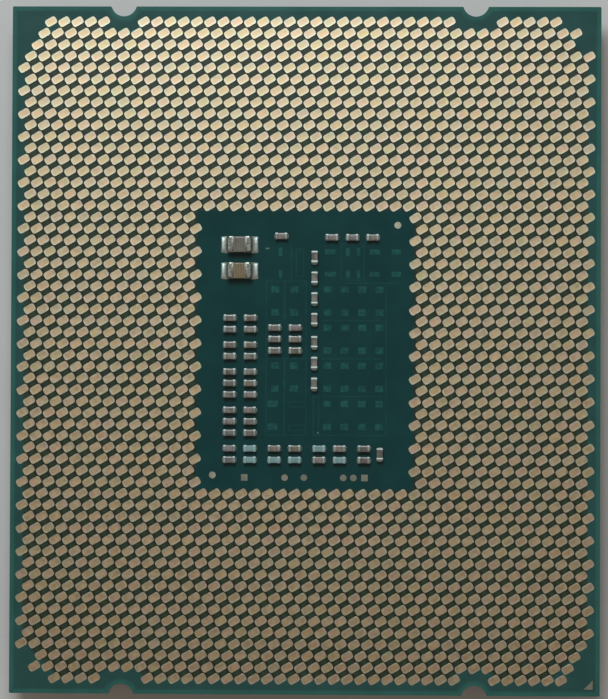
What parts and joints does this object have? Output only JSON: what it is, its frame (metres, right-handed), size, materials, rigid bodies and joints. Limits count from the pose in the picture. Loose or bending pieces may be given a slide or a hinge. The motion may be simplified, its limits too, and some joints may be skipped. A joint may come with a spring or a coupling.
{
  "type": "computer processor",
  "caption": "Rectangular processor lying lands up: a laminate board with a hexagonal field of gold lands around a window of chip capacitors, edge notches and a metal lid beneath.",
  "frame": {"origin": "middle of the heat spreader's contact face, which the part lies on", "axes": "+Z from the heat spreader up to the lands, +Y along the board's long side, +X across it, with the index mark at the corner of +X and -Y"},
  "size_m": [0.045, 0.0524, 0.0059],
  "materials": {
    "solder_mask": "satin",
    "gold_land": "satin",
    "nickel_plate": "satin",
    "seal_adhesive": "matte",
    "silicon": "polished",
    "thermal_metal": "satin",
    "underfill_resin": "satin",
    "ceramic_grey": "satin",
    "ceramic_tan": "satin",
    "ceramic_brown": "satin",
    "ceramic_pale": "satin",
    "tin_terminal": "satin",
    "bright_solder": "polished"
  },
  "bodies": {
    "root": {"package_board": "solder_mask", "north_lands": "gold_land", "south_lands": "gold_land", "west_lands": "gold_land", "east_lands": "gold_land", "fiducials": "gold_land", "probe_pads": "gold_land", "index_mark": "gold_land", "heat_spreader": "nickel_plate", "lid_seal": "seal_adhesive", "silicon_die": "silicon", "thermal_solder": "thermal_metal", "underfill": "underfill_resin", "bulk_upper_ceramics": "ceramic_grey", "bulk_upper_terminals": "tin_terminal", "bulk_upper_solder": "bright_solder", "bulk_lower_ceramics": "ceramic_tan", "bulk_lower_terminals": "tin_terminal", "bulk_lower_solder": "bright_solder", "top_row_ceramics": "ceramic_brown", "top_row_terminals": "tin_terminal", "top_row_solder": "bright_solder", "spine_ceramics": "ceramic_brown", "spine_terminals": "tin_terminal", "spine_solder": "bright_solder", "left_outer_ceramics": "ceramic_brown", "left_outer_terminals": "tin_terminal", "left_outer_solder": "bright_solder", "left_inner_ceramics": "ceramic_brown", "left_inner_terminals": "tin_terminal", "left_inner_solder": "bright_solder", "middle_ceramics": "ceramic_brown", "middle_terminals": "tin_terminal", "middle_solder": "bright_solder", "dark_base_ceramics": "ceramic_brown", "dark_base_terminals": "tin_terminal", "dark_base_solder": "bright_solder", "pale_base_ceramics": "ceramic_pale", "pale_base_terminals": "tin_terminal", "pale_base_solder": "bright_solder"}
  },
  "joints": []
}
